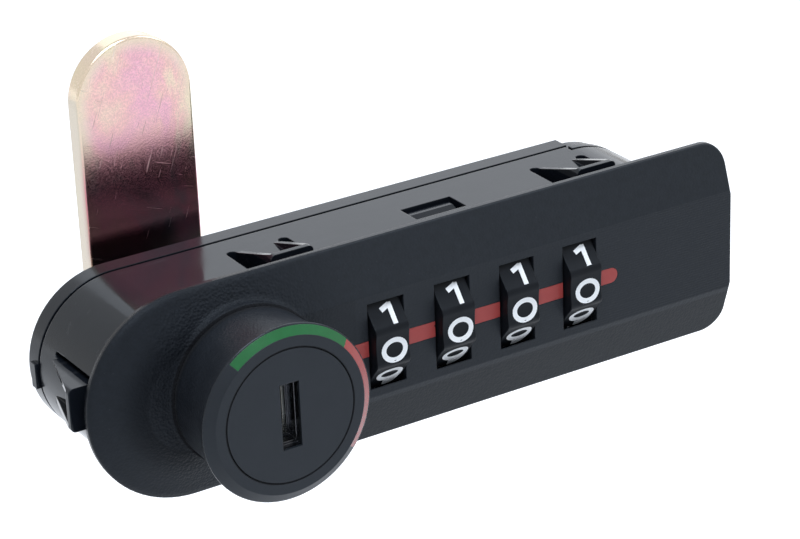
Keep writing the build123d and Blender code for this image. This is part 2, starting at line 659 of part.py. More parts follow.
def key_plug():
    """The plug that a key turns, with its stepped slot, keyway and wafer chambers."""
    plug = rod(PLUG_FACE_R, KNOB_FACE, FACE_PLUG_BACK)
    plug = plug + rod(PLUG_R, FACE_PLUG_BACK - JOIN, CAVITY_Y)
    plug = plug + rod(TAIL_R, CAVITY_Y - JOIN, TAIL_END)
    groove = rod(TAIL_R + CUT, CLIP_RING_Y - SLIP, CLIP_RING_Y + CLIP_RING_T + SLIP)
    plug = plug - (groove - rod(GROOVE_R, CLIP_RING_Y - CUT, TAIL_END))
    plug = plug - upright_slot(SLOT_W, SLOT_H, KNOB_FACE - CUT, KNOB_FACE + SLOT_STEP)
    plug = plug - upright_slot(SLOT_W - SLOT_NARROW, SLOT_H - 2 * SLOT_SHORT, KNOB_FACE, KNOB_FACE + SLOT_DEEP)
    plug = plug - upright_slot(KEYWAY_W, KEYWAY_H, KNOB_FACE, CAVITY_Y - KEYWAY_STOP)
    half = wafer_half_height() + CHAMBER
    for y in wafer_places():
        side = WAFER_W / 2 + SLIP
        plug = plug - block(-side, side, y - SLIP, y + WAFER_T + SLIP, -half, half)
    return plug


def wafers():
    """Flat wafers with a hole for the key, seated in the plug's chambers."""
    pieces = []
    height = 2 * wafer_half_height()
    for y in wafer_places():
        leaf = upright_slot(WAFER_W, height, y, y + WAFER_T)
        pieces.append(leaf - upright_slot(WAFER_HOLE_W, WAFER_HOLE_H, y - CUT, y + WAFER_T + CUT))
    return Compound(children=pieces)


def plug_clip():
    """The open ring that keeps the plug in the knob."""
    front = CLIP_RING_Y - CUT
    rear = CLIP_RING_Y + CLIP_RING_T + CUT
    ring = rod(CLIP_RING_R, CLIP_RING_Y, CLIP_RING_Y + CLIP_RING_T) - rod(GROOVE_R + SLIP, front, rear)
    return ring - block(-CLIP_RING_MOUTH, CLIP_RING_MOUTH, front, rear, -CLIP_RING_R, 0)


def spindle():
    """The shaft from the knob to the cam, with the flange that the locking bar drops into."""
    shaft = rod(SPIGOT_R, SPIGOT_Y, FLANGE_Y0 + JOIN)
    cross = block(-DRIVE_HALF, DRIVE_HALF, DRIVE_Y + SLIP, STEM_END, -STEM_R, STEM_R)
    shaft = shaft + (cross & rod(STEM_R, SPIGOT_Y, FLANGE_Y0))
    shaft = shaft + rod(FLANGE_R, FLANGE_Y0, FLANGE_Y1)
    shaft = shaft + rod(JOURNAL_R, FLANGE_Y1 - JOIN, CAM_Y - SLIP)
    square = slab(Rectangle(SQUARE, SQUARE), BEARING_REAR, WASHER_Y - SQUARE_SHORT)
    shaft = shaft + (square & rod(SQUARE_R, BEARING_REAR, WASHER_Y))
    notch = make_face(Polyline(
        (FLANGE_R + CUT, -NOTCH), (FLANGE_R + CUT, NOTCH), (FLANGE_R - NOTCH, NOTCH / 2),
        (FLANGE_R - NOTCH, -NOTCH / 2), close=True))
    tool = slab(notch, FLANGE_Y0 - SLIP, FLANGE_Y1 + SLIP)
    shaft = shaft - tool - Rot(0, -90, 0) * tool
    return shaft - rod(CAM_SCREW_R + SLIP, WASHER_Y - CAM_SCREW_DEEP, WASHER_Y)


def cam():
    """The flat cam that swings behind the door's frame."""
    far = CAM_TOP - CAM_W / 2
    outline = Pos(0, far / 2) * Rot(0, 0, 90) * SlotCenterToCenter(far, CAM_W)
    blank = slab(outline, CAM_Y, WASHER_Y)
    front = blank.faces().sort_by(Axis.Y)[0]
    blank = fillet(front.edges(), CAM_ROUND)
    hole = slab(Rectangle(SQUARE + 2 * SLIP, SQUARE + 2 * SLIP), CAM_Y - CUT, WASHER_Y + CUT)
    return blank - (hole & rod(SQUARE_R + SLIP, CAM_Y - CUT, WASHER_Y + CUT))


def cam_washer():
    """The plain washer under the cam's screw."""
    washer = rod(WASHER_R, WASHER_Y, WASHER_Y + WASHER_T)
    return washer - rod(CAM_SCREW_R + WASHER_AIR, WASHER_Y - CUT, WASHER_Y + WASHER_T + CUT)


def cam_screw():
    """The screw that holds the cam on the spindle."""
    seat = WASHER_Y + WASHER_T
    head = slab(RegularPolygon(CAM_HEAD_R, 6), seat, seat + CAM_HEAD)
    dome = rod(CAM_HEAD_R - CAM_HEAD_TRIM, seat - CUT, seat + CAM_HEAD)
    dome = chamfer(dome.faces().sort_by(Axis.Y)[-1].edges(), CAM_HEAD_CHAMFER)
    return (head & dome) + rod(CAM_SCREW_R, WASHER_Y - CAM_SCREW_DEEP + CAM_SCREW_TIP, seat + JOIN)


def polar(radius, angle):
    """A point given by its distance from the middle and its angle in radians."""
    return (radius * cos(angle), radius * sin(angle))


def dial(x):
    """A number wheel with ten hollow facets, rounded ridges and a grooved bore."""
    step = radians(360 / DIGITS)
    foot_r = DIAL_R - RIDGE_DROP
    half = RIDGE_W / 2 / DIAL_R
    edges = []
    for number in range(DIGITS):
        middle = step * number
        ridge = middle + step / 2
        ridge_end = polar(foot_r, ridge + half)
        edges.append(ThreePointArc(
            polar(foot_r, middle - step / 2 + half), polar(DIAL_R - DIAL_HOLLOW, middle), polar(foot_r, ridge - half)))
        edges.append(ThreePointArc(polar(foot_r, ridge - half), polar(DIAL_R, ridge), ridge_end))
    wheel = beam(Pos(AXIS_Y, 0) * make_face(edges), x - DIAL_W / 2, x + DIAL_W / 2)
    wheel = wheel - bar_x(SLEEVE_R + SLIP, x - DIAL_W, x + DIAL_W, AXIS_Y)
    return wheel - splines(x - DIAL_W, x + DIAL_W, SPLINE_W + 2 * SLIP, SLEEVE_R + SPLINE + SLIP)


def splines(x0, x1, width, reach):
    """Bars round the dial axis, for the splines and for the grooves that take them."""
    bars = []
    for number in range(DIGITS // 2):
        turn = Rot(360 / DIGITS * number, 0, 0)
        middle = Pos((x0 + x1) / 2, AXIS_Y, 0)
        bars.append(middle * turn * Box(x1 - x0, 2 * reach, width))
    return bars[0] + bars[1:]


def code_disc(x):
    """A sleeve on the axle that carries the dial, with the gate that the locking bar drops into."""
    face = x + DIAL_W / 2 + DISC_GAP
    sleeve = bar_x(SLEEVE_R, x - SLEEVE_TAIL, face + JOIN, AXIS_Y)
    sleeve = sleeve + splines(x - DIAL_W / 2, face - DISC_GAP, SPLINE_W, SLEEVE_R + SPLINE)
    disc = bar_x(DISC_R, face, face + DISC_T, AXIS_Y)
    rear = AXIS_Y + DISC_R
    gate = block(face - CUT, face + DISC_T + CUT, rear - GATE_DEEP, rear + CUT, -GATE_W / 2, GATE_W / 2)
    bore = bar_x(AXLE_R + RUN, x - SLEEVE_TAIL - CUT, face + DISC_T + CUT, AXIS_Y)
    return sleeve + (disc - gate) - bore


def dial_axle():
    """The steel pin that the code discs turn on."""
    axle = bar_x(AXLE_R, RIB_LEFT, TRAIN_END, AXIS_Y)
    return chamfer(axle.edges().filter_by(GeomType.CIRCLE), AXLE_CHAMFER)


def locking_bar():
    """The bar with one finger behind each code disc and a nose at the spindle's notch."""
    nose = FLANGE_R + AIR
    bar = block(nose + NOSE_L, BAR_END, BAR_Y0, BAR_Y0 + BAR_T, -BAR_HALF, BAR_HALF)
    root = nose + NOSE_L + JOIN
    tip = make_face(Polyline(
        (root, -BAR_HALF), (root, BAR_HALF), (nose, NOSE_HALF), (nose, -NOSE_HALF), close=True))
    bar = bar + slab(tip, BAR_Y0, BAR_Y0 + BAR_T)
    half = FINGER_T / 2
    side = GATE_W / 2 - FINGER_SIDE
    for x in dial_places():
        middle = x + DIAL_W / 2 + DISC_GAP + DISC_T / 2
        bar = bar + block(middle - half, middle + half, FINGER_FRONT, BAR_Y0 + JOIN, -side, side)
    return bar


def bar_springs():
    """Two coil springs that push the locking bar back."""
    pitch = (BAR_Y0 - SPRING_SEAT - 2 * SPRING_WIRE) / SPRING_TURNS
    path = Helix(pitch, pitch * SPRING_TURNS, SPRING_R)
    wire = Plane(origin=path @ 0, z_dir=path % 0) * RegularPolygon(SPRING_WIRE, 4)
    coil = sweep(wire, path=path, is_frenet=True)
    springs = []
    for x in SPRING_X:
        springs.append(Pos(x, SPRING_SEAT + SPRING_WIRE, 0) * Rot(-90, 0, 0) * coil)
    return Compound(children=springs)


def detent_spring():
    """A comb of leaf springs, one under each dial."""
    floor = -CAVITY_HALF
    left = DIAL_X - LEAF_W / 2 - LEAF_EDGE
    right = LAST_X + LEAF_W / 2 + LEAF_EDGE
    comb = block(left, right, LEAF_BASE_Y0, LEAF_BASE_Y1, floor, floor + LEAF_T)
    root = LEAF_BASE_Y0 + JOIN
    bend = LEAF_BASE_Y0 - LEAF_BEND
    upper = [(root, floor + LEAF_T), (bend, floor + LEAF_T)]
    top = -DIAL_R - LEAF_GAP
    shoulder = top - LEAF_NOSE_H
    tip_y = AXIS_Y - LEAF_NOSE - LEAF_TIP
    upper = upper + [(AXIS_Y + LEAF_NOSE, shoulder), (AXIS_Y, top), (AXIS_Y - LEAF_NOSE, shoulder)]
    upper = upper + [(tip_y, shoulder - LEAF_TIP_H)]
    lower = [(y, z - LEAF_T) for y, z in reversed(upper)]
    leaf = make_face(Polyline(*upper, *lower, close=True))
    for x in dial_places():
        comb = comb + beam(leaf, x - LEAF_W / 2, x + LEAF_W / 2)
    for x in STUD_X:
        hole = Pos(x, (LEAF_BASE_Y0 + LEAF_BASE_Y1) / 2, floor)
        comb = comb - hole * Cylinder(STUD_R + SLIP, 2 * CUT)
    return comb


def build():
    """Every piece by its node's name."""
    pieces = {
        "front_plate": front_plate(),
        "red_stripe": red_stripe(),
        "housing": housing(),
        "rear_cover": rear_cover(),
        "rear_screws": rear_screws(),
        "knob": knob(),
        "red_indicator": indicator(RED_ANGLE, MIDDLE_ANGLE),
        "green_indicator": indicator(MIDDLE_ANGLE, GREEN_ANGLE),
        "key_plug": key_plug(),
        "wafers": wafers(),
        "plug_clip": plug_clip(),
        "spindle": spindle(),
        "cam": cam(),
        "cam_washer": cam_washer(),
        "cam_screw": cam_screw(),
        "dial_axle": dial_axle(),
        "locking_bar": locking_bar(),
        "bar_springs": bar_springs(),
        "detent_spring": detent_spring(),
    }
    for number, x in enumerate(dial_places(), start=1):
        pieces[f"dial_{number}"] = dial(x)
        pieces[f"code_disc_{number}"] = code_disc(x)
    return pieces


os.makedirs("parts", exist_ok=True)
for name, shape in build().items():
    export_step(shape, f"parts/{name}.step")
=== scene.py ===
from math import cos, pi, radians, sin, sqrt

import bmesh
import bpy
from mathutils import Matrix, Vector


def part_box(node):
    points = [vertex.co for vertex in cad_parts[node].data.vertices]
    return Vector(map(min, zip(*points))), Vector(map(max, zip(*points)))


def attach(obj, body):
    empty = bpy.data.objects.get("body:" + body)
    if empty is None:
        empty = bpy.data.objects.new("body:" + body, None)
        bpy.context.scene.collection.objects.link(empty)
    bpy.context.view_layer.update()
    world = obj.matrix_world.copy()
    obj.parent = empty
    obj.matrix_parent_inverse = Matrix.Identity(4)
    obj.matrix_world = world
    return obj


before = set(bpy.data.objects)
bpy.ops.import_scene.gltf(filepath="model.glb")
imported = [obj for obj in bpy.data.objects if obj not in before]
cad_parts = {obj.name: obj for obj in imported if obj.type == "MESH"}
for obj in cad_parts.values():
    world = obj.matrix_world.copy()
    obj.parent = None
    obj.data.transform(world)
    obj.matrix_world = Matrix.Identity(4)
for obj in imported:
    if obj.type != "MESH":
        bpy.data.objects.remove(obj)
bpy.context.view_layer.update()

MM = 0.001

# Camera, at the photograph's viewing angle
CAMERA_PLACE = Vector((-173.968, -333.867, 181.631)) * MM
CAMERA_LOOK = Vector((0.47600, 0.78168, -0.40300))
CAMERA_UP = Vector((0.24498, 0.32226, 0.91441))
LENS = 126.0
SENSOR = 36.0

# Sizes of the lock that the looks follow, in metres
AXIS_Y = 3.6 * MM
DIAL_RIDGE = 9.5 * MM
DIAL_HOLLOW = 8.88 * MM
RIDGE_W = 1.5 * MM
RIDGE_DROP = 0.18 * MM
DIGITS = 10
BAND_HALF = 8.47 * MM
KNOB_FACE = -16.3 * MM
KNOB_R = 13.97 * MM
PLUG_FACE_R = 10.55 * MM
CAM_HALF = 9.7 * MM
CAM_ROUND_Z = 36.3 * MM

# Where the fascia's look changes
LEFT_END = 22 * MM
BAND_START = 19 * MM
GROOVE_PITCH = 0.42 * MM
GROOVES_SOFT = 40 * MM
GROOVES_FULL = 88 * MM
LEATHER_NEAR = 14 * MM
LEATHER_FAR = 20 * MM
RIM_FRONT = -0.95 * MM
RIM_BACK = -0.6 * MM
# The next two bound a painted shade round the foot of the knob's neck
COLLAR_BACK = -3.55 * MM
COLLAR_FRONT = -3.7 * MM
# The next three bound a painted shade that darkens the lower facet right of the knob
LOW_SHADE_TOP = -9.2 * MM
LOW_SHADE_BOTTOM = -9.6 * MM
LOW_SHADE_START = 8 * MM
SHADE_IN = -0.8 * MM
SHADE_PEAK = 0.3 * MM
SHADE_OUT = 4.8 * MM

# Where the looks of case, knob and plug change
CASE_GRAIN_FRONT = 7 * MM
CASE_GRAIN_BACK = 15 * MM
NECK_START = KNOB_FACE + 1.4 * MM
NECK_FULL = KNOB_FACE + 2.4 * MM
# The next three bound painted shade on the knob, at its foot by the plate and round the plug on its face
STEM_FRONT = -5.2 * MM
STEM_BACK = -4.1 * MM
FACE_SKIN = 0.1 * MM
SLOT_INSIDE = KNOB_FACE + 0.5 * MM

# Where a dark reflection is painted low on the cam's front face, in a dark red tint
REFLECTION_TOP = 33 * MM
REFLECTION_FULL_TOP = 21 * MM
REFLECTION_FULL_BOTTOM = 14 * MM
REFLECTION_BOTTOM = 9 * MM

# The small dark chip in the red stripe
CHIP = (33.1 * MM, -3.6 * MM, 0.3 * MM)
CHIP_R = 0.42 * MM
CHIP_RAGGED = 0.35 * MM

# Colours that several materials share
BLACK = (0.0, 0.0, 0.0)
WHITE = (1.0, 1.0, 1.0)
PLASTIC_TINT = (0.84, 0.93, 1.0)
SATIN_DARK = (0.0095, 0.0115, 0.0150)
SATIN_LIGHT = (0.0140, 0.0165, 0.0210)
# Painted shade, for the gaps at the knob's collar and round the plug's face
GAP_SHADE_DARK = (0.004, 0.004, 0.005)

# Light
DAYLIGHT = (0.93, 1.0, 1.12)
BRIGHT_SIDE = (0.6, 0.5, 0.0)
WORLD_TOP = 1.5
WORLD_STOPS = [(0.0, 0.05), (0.23, 0.07), (0.41, 0.18), (0.55, 0.24), (0.92, 1.0)]

# Floor
FLOOR_Z = -0.16
FLOOR_SIZE = 6.0
FLOOR_COLOUR = (0.86, 0.86, 0.86)
FLOOR_GLOW = 0.55
FAR_GLOW = 0.4
GLOW_NEAR = 0.6
GLOW_FAR = 2.0

# Numerals
DIGIT_W = 4.65 * MM
DIGIT_H = 4.1 * MM
DIGIT_RIGHT = 0.28 * MM
DIGIT_DOWN = 0.62 * MM
STROKE = 0.82 * MM
DIGIT_LIFT = 0.03 * MM
DIGIT_SINK = 0.03 * MM
LAYER_LIFT = 0.012 * MM
MITRE_LEAST = 0.35
ARC_STEPS = 28
SHARP_ANGLE = radians(28)


def camera():
    """The camera, with its axes from the direction of view and the direction of up."""
    data = bpy.data.cameras.new("camera")
    data.lens = LENS
    data.sensor_width = SENSOR
    data.sensor_fit = "HORIZONTAL"
    data.clip_start = 0.01
    data.clip_end = 20.0
    look = CAMERA_LOOK.normalized()
    right = look.cross(CAMERA_UP).normalized()
    up = right.cross(look)
    turn = Matrix((right, up, -look)).transposed().to_4x4()
    made = bpy.data.objects.new("camera", data)
    made.matrix_world = Matrix.Translation(CAMERA_PLACE) @ turn
    bpy.context.scene.collection.objects.link(made)
    bpy.context.scene.camera = made


class Nodes:
    """A material's node tree, with short calls to add and join nodes."""

    def __init__(self, name):
        self.material = bpy.data.materials.new(name)
        self.material.use_nodes = True
        self.tree = self.material.node_tree
        self.shader = self.tree.nodes["Principled BSDF"]
        self.place = self.add("ShaderNodeTexCoord").outputs["Object"]

    def add(self, kind, **values):
        """A new node with properties set by name, and sockets by sockets={...}."""
        sockets = values.pop("sockets", {})
        node = self.tree.nodes.new(kind)
        for key, value in values.items():
            setattr(node, key, value)
        for key, value in sockets.items():
            if hasattr(value, "is_output"):
                self.link(value, node.inputs[key])
            else:
                node.inputs[key].default_value = value
        return node

    def link(self, source, target):
        """Joins an output to an input."""
        self.tree.links.new(source, target)

    def math(self, operation, first, second=0.0, clamp=False):
        """One sum on numbers or sockets."""
        sockets = {0: first, 1: second}
        return self.add("ShaderNodeMath", operation=operation, use_clamp=clamp, sockets=sockets).outputs[0]

    def plus(self, first, second):
        """The sum of two values."""
        return self.math("ADD", first, second)

    def minus(self, first, second):
        """The first value less the second."""
        return self.math("SUBTRACT", first, second)

    def times(self, first, second):
        """The product of two values."""
        return self.math("MULTIPLY", first, second)

    def most(self, first, second):
        """The larger of two values."""
        return self.math("MAXIMUM", first, second)

    def size(self, value):
        """A value without its sign."""
        return self.math("ABSOLUTE", value)

    def rest(self, value):
        """What a value lacks to 1."""
        return self.minus(1.0, value)

    def length(self, first, second):
        """The length of a line from its two sides."""
        squares = self.plus(self.math("POWER", first, 2.0), self.math("POWER", second, 2.0))
        return self.math("SQRT", squares)

    def span(self, value, low, high):
        """A smooth rise from 0 to 1 between two values."""
        sockets = {"Value": value, "From Min": low, "From Max": high}
        node = self.add("ShaderNodeMapRange", interpolation_type="SMOOTHSTEP", sockets=sockets)
        return node.outputs["Result"]

    def noise(self, scale, detail=3.0, rough=0.55, stretch=(1, 1, 1), distort=0.0):
        """Noise over the object's own coordinates, in cells per metre."""
        spread = self.add("ShaderNodeMapping", sockets={"Vector": self.place, "Scale": stretch})
        made = self.add("ShaderNodeTexNoise", sockets={
            "Vector": spread.outputs[0], "Scale": scale, "Detail": detail, "Roughness": rough,
            "Distortion": distort})
        return made.outputs["Fac"]

    def streaks(self, scale, length, turn, low, high):
        """Thin straight streaks over the cam's face, turned about the knob's axis."""
        spread = self.add("ShaderNodeMapping", vector_type="TEXTURE", sockets={
            "Vector": self.place, "Rotation": (0, turn, 0), "Scale": (1, 1, length)})
        made = self.add("ShaderNodeTexNoise", sockets={
            "Vector": spread.outputs[0], "Scale": scale, "Detail": 1.0, "Roughness": 0.3})
        return self.ramp(made.outputs["Fac"], [(low, BLACK), (high, WHITE)])

    def cells(self, scale):
        """Distance in a pattern of cells."""
        made = self.add("ShaderNodeTexVoronoi", sockets={"Vector": self.place, "Scale": scale})
        return made.outputs["Distance"]

    def ramp(self, value, stops):
        """Colours or greys along a value."""
        node = self.add("ShaderNodeValToRGB", sockets={"Fac": value})
        band = node.color_ramp
        while len(band.elements) < len(stops):
            band.elements.new(0.5)
        for element, (at, colour) in zip(band.elements, stops):
            element.position = at
            element.color = (*colour, 1)
        return node.outputs["Color"]

    def axis(self, name):
        """One coordinate of the object's own place."""
        return self.add("ShaderNodeSeparateXYZ", sockets={0: self.place}).outputs[name]

    def measure(self, operation, sockets):
        """A number worked out from vectors, such as a length or a distance."""
        return self.add("ShaderNodeVectorMath", operation=operation, sockets=sockets).outputs["Value"]

    def radius(self):
        """Distance from the knob's axis."""
        flat = self.add("ShaderNodeVectorMath", operation="MULTIPLY", sockets={0: self.place, 1: (1, 0, 1)})
        return self.measure("LENGTH", {0: flat.outputs[0]})

    def mix(self, factor, first, second, blend="MIX"):
        """Two colours mixed."""
        node = self.add("ShaderNodeMix", data_type="RGBA", blend_type=blend)
        for key, value in (("Factor", factor), ("A", first), ("B", second)):
            kind = "VALUE" if key == "Factor" else "RGBA"
            socket = [s for s in node.inputs if s.name == key and s.type == kind][0]
            if hasattr(value, "is_output"):
                self.link(value, socket)
            else:
                socket.default_value = value if key == "Factor" else (*value, 1)
        return [s for s in node.outputs if s.type == "RGBA"][0]

    def bump(self, heights, round_edge=0.0):
        """Bumps laid over each other from (height, strength, distance), on edges rounded by the shader."""
        normal = None
        if round_edge:
            normal = self.add("ShaderNodeBevel", samples=8, sockets={"Radius": round_edge}).outputs[0]
        for height, strength, distance in heights:
            sockets = {"Strength": strength, "Distance": distance, "Height": height}
            node = self.add("ShaderNodeBump", sockets=sockets)
            if normal is not None:
                self.link(normal, node.inputs["Normal"])
            normal = node.outputs[0]
        self.link(normal, self.shader.inputs["Normal"])

    def set(self, **values):
        """Sets the shader's own sockets, or links them where a value is a socket."""
        names = {
            "color": "Base Color", "rough": "Roughness", "metal": "Metallic", "level": "Specular IOR Level",
            "tint": "Specular Tint"}
        for key, value in values.items():
            socket = self.shader.inputs[names[key]]
            if hasattr(value, "is_output"):
                self.link(value, socket)
            else:
                socket.default_value = (*value, 1) if key in ("color", "tint") else value
        return self.material


def neck_shade(n, x, z):
    """A soft shade beside the knob's neck, 1 at its darkest."""
    away = n.minus(n.length(n.plus(x, BAND_HALF), z), BAND_HALF)
    fade_out = n.rest(n.span(away, SHADE_PEAK, SHADE_OUT))
    return n.times(n.span(away, SHADE_IN, SHADE_PEAK), fade_out)


def band_grooves(n, x, z, band):
    """Fine level grooves along the band, stronger towards its right end."""
    groove = n.math("SINE", n.times(z, 2 * pi / GROOVE_PITCH))
    fade = n.span(x, GROOVES_SOFT, GROOVES_FULL)
    return n.times(groove, n.times(band, n.plus(n.times(fade, 0.8), 0.2)))


def fascia_leather(n, left_end, rim):
    """The height of a leather grain that is deepest near the knob's neck."""
    near = n.minus(1.2, n.span(n.radius(), LEATHER_NEAR, LEATHER_FAR))
    depth = n.plus(n.times(n.times(left_end, near), 0.9), 0.36)
    return n.times(n.cells(2300), n.times(depth, n.rest(rim)))


def fascia_plastic():
    """Black plastic with a fine leather grain, and fine level grooves along the band."""
    n = Nodes("fascia_plastic")
    x = n.axis("X")
    z = n.axis("Z")
    soft = n.noise(900, 4)
    on_band = n.math("LESS_THAN", n.size(z), BAND_HALF)
    band = n.times(on_band, n.math("GREATER_THAN", x, BAND_START))
    left_end = n.rest(n.span(x, 0.0, LEFT_END))
    rim = n.span(n.axis("Y"), RIM_FRONT, RIM_BACK)
    # Painted shade: the down-facing lower facet, right of the knob, darker and less glossy
    low = n.times(n.span(z, LOW_SHADE_TOP, LOW_SHADE_BOTTOM), n.span(x, LOW_SHADE_START, BAND_START))
    # Painted shade where the knob's neck meets the plate: darker and rougher there
    collar_shade = n.span(n.axis("Y"), COLLAR_BACK, COLLAR_FRONT)
    shade = neck_shade(n, x, z)
    dust = n.ramp(n.cells(620), [(0.0, WHITE), (0.06, BLACK)])
    patches = n.ramp(soft, [(0.35, BLACK), (0.7, WHITE)])
    base = n.mix(patches, (0.0060, 0.0076, 0.0106), (0.0088, 0.0108, 0.0146))
    base = n.mix(n.times(dust, 0.2), base, (0.18, 0.18, 0.19))
    base = n.mix(n.times(band, 0.35), base, (0.017, 0.020, 0.025))
    base = n.mix(low, base, (0.0035, 0.0045, 0.0062))
    base = n.mix(n.times(shade, 0.4), base, (0.001, 0.001, 0.0015))
    base = n.mix(collar_shade, base, GAP_SHADE_DARK)
    rough = n.plus(n.times(soft, 0.12), n.plus(n.times(left_end, 0.04), 0.40))
    rough = n.minus(rough, n.times(rim, 0.25))
    rough = n.plus(rough, n.times(collar_shade, 0.4))
    level = n.minus(0.28, n.times(left_end, 0.09))
    level = n.minus(level, n.times(low, 0.05))
    level = n.times(level, n.rest(n.times(shade, 0.45)))
    leather = fascia_leather(n, left_end, rim)
    grooves = band_grooves(n, x, z, band)
    round_edge = n.plus(n.times(left_end, 1.5 * MM), 0.2 * MM)
    n.bump([(leather, 0.7, 0.1 * MM), (soft, 0.25, 0.06 * MM), (grooves, 0.35, 0.03 * MM)], round_edge)
    return n.set(color=base, rough=rough, level=level, tint=PLASTIC_TINT)


def case_plastic():
    """Glossy black plastic of the housing and the cover, with a fine grain towards the rear."""
    n = Nodes("case_plastic")
    fine = n.noise(2600, 3)
    wide = n.noise(160, 3)
    rear = n.span(n.axis("Y"), CASE_GRAIN_FRONT, CASE_GRAIN_BACK)
    scuffs = n.ramp(n.noise(500, 2, 0.6, (0.08, 1, 1)), [(0.66, BLACK), (0.7, WHITE)])
    base = n.mix(wide, (0.0055, 0.0070, 0.0100), (0.0090, 0.0110, 0.0150))
    base = n.mix(n.times(scuffs, 0.05), base, (0.2, 0.2, 0.21))
    grain = n.times(fine, n.plus(n.times(rear, 0.8), 0.2))
    n.bump([(grain, 0.3, 0.03 * MM), (wide, 0.1, 0.2 * MM)], 0.2 * MM)
    rough = n.plus(n.times(rear, 0.1), n.plus(n.times(wide, 0.04), 0.075))
    return n.set(color=base, rough=rough, level=0.28, tint=PLASTIC_TINT)


def knob_plastic():
    """Satin black plastic of the knob, with a leather grain on the neck, and painted shade at its foot and
    round the plug.
    """
    n = Nodes("knob_plastic")
    fine = n.noise(4200, 3)
    wide = n.noise(220, 3)
    neck = n.span(n.axis("Y"), NECK_START, NECK_FULL)
    n.bump([(n.times(n.cells(2400), neck), 0.6, 0.06 * MM), (fine, 0.25, 0.03 * MM)], 0.2 * MM)
    shiny = n.span(n.radius(), KNOB_R - 0.24 * MM, KNOB_R - 0.12 * MM)
    # Painted shade: the knob's foot by the plate, and a ring on its face round the plug, dark and rough
    foot = n.span(n.axis("Y"), STEM_FRONT, STEM_BACK)
    gap_shade = n.span(n.radius(), PLUG_FACE_R + 0.32 * MM, PLUG_FACE_R + 0.22 * MM)
    dull_shade = n.most(foot, n.times(gap_shade, n.span(n.axis("Y"), KNOB_FACE + FACE_SKIN, KNOB_FACE)))
    rough = n.minus(n.plus(n.times(wide, 0.16), 0.31), n.times(shiny, 0.12))
    rough = n.most(rough, n.times(dull_shade, 0.9))
    base = n.mix(dull_shade, n.mix(wide, SATIN_DARK, SATIN_LIGHT), (0.003, 0.003, 0.004))
    return n.set(color=base, rough=rough, level=0.27, tint=PLASTIC_TINT)


def plug_plastic():
    """Satin black plastic of the plug's face with a ring of painted shade at its edge, and dark shiny steel
    inside the key slot, darkened further as painted shade.
    """
    n = Nodes("plug_plastic")
    n.bump([(n.noise(4200, 3), 0.25, 0.03 * MM)], 0.12 * MM)
    inside = n.math("GREATER_THAN", n.axis("Y"), SLOT_INSIDE)
    # Painted shade: a dark, rough ring at the edge of the plug's face, in the gap round it
    edge = n.span(n.radius(), PLUG_FACE_R - 0.12 * MM, PLUG_FACE_R - 0.04 * MM)
    base = n.mix(edge, n.mix(n.noise(220, 3), SATIN_DARK, SATIN_LIGHT), GAP_SHADE_DARK)
    # Dark steel in the key slot, darkened further as painted shade in the slot
    steel = n.mix(n.noise(900, 3, 0.6, (1, 1, 0.1)), (0.07, 0.07, 0.075), (0.15, 0.15, 0.16))
    rough = n.most(n.minus(0.4, n.times(inside, 0.18)), n.times(edge, 0.9))
    return n.set(color=n.mix(inside, base, steel), rough=rough, metal=inside, level=0.27, tint=PLASTIC_TINT)


def dial_plastic():
    """Semi-gloss black plastic of the number wheels, in soft patches of two tones."""
    n = Nodes("dial_plastic")
    wide = n.noise(400, 3)
    base = n.mix(wide, (0.0045, 0.0053, 0.0072), (0.0074, 0.0084, 0.0107))
    n.bump([(n.noise(2600, 3), 0.2, 0.03 * MM)], 0.22 * MM)
    rough = n.ramp(wide, [(0.3, (0.32,) * 3), (0.75, (0.42,) * 3)])
    return n.set(color=base, rough=rough, level=0.14, tint=PLASTIC_TINT)


def inner_plastic():
    """Plain natural plastic of the code discs."""
    n = Nodes("inner_plastic")
    n.bump([(n.noise(2500), 0.15, 0.03 * MM)], 0.15 * MM)
    return n.set(color=n.mix(n.noise(300, 3), (0.62, 0.61, 0.57), (0.7, 0.69, 0.64)), rough=0.45)


def paint(name, low, high, chip=None, rough=0.42, level=0.4):
    """Satin print with a soft change of tone, and one small chip where it has one."""
    n = Nodes(name)
    base = n.mix(n.noise(700, 3), low, high)
    if chip:
        away = n.measure("DISTANCE", {0: n.place, 1: chip})
        ragged = n.plus(away, n.times(n.noise(4000, 2), CHIP_RAGGED))
        base = n.mix(n.math("LESS_THAN", ragged, CHIP_R), base, (0.03, 0.012, 0.013))
    n.bump([(n.noise(3000), 0.2, 0.02 * MM)], 0.08 * MM)
    return n.set(color=base, rough=rough, level=level)


def zinc_film(n, cloud):
    """The cam's film of pink, yellow and green, with finer specks in it."""
    film = n.ramp(cloud, [
        (0.22, (0.60, 0.64, 0.46)), (0.38, (0.76, 0.60, 0.48)), (0.48, (0.76, 0.48, 0.46)),
        (0.6, (0.74, 0.42, 0.50)), (0.74, (0.72, 0.46, 0.45)), (0.88, (0.52, 0.58, 0.50))])
    speck = n.ramp(n.noise(3400, 3, 0.6), [(0.42, (0.86,) * 3), (0.62, (1.06,) * 3)])
    return n.mix(1.0, film, speck, "MULTIPLY")


def zinc_border(n, cloud):
    """How far a point is out towards the cam's edge, which has a yellow-green film."""
    over = n.most(n.minus(n.axis("Z"), CAM_ROUND_Z), 0.0)
    away = n.length(n.axis("X"), over)
    return n.span(n.plus(away, n.times(cloud, 2.5 * MM)), 8.0 * MM, 10.9 * MM)


def zinc_dark_reflection(n):
    """Where a dark reflection is painted in a dark red tint: low on the cam's front face and nowhere else."""
    low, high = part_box("cam")
    front = n.span(n.axis("Y"), (low.y + high.y) / 2, low.y + 0.3 * MM)
    within = n.span(n.size(n.axis("X")), CAM_HALF + 0.2 * MM, CAM_HALF)
    below = n.span(n.axis("Z"), REFLECTION_TOP, REFLECTION_FULL_TOP)
    above = n.span(n.axis("Z"), REFLECTION_BOTTOM, REFLECTION_FULL_BOTTOM)
    return n.times(n.times(below, above), n.times(front, within))


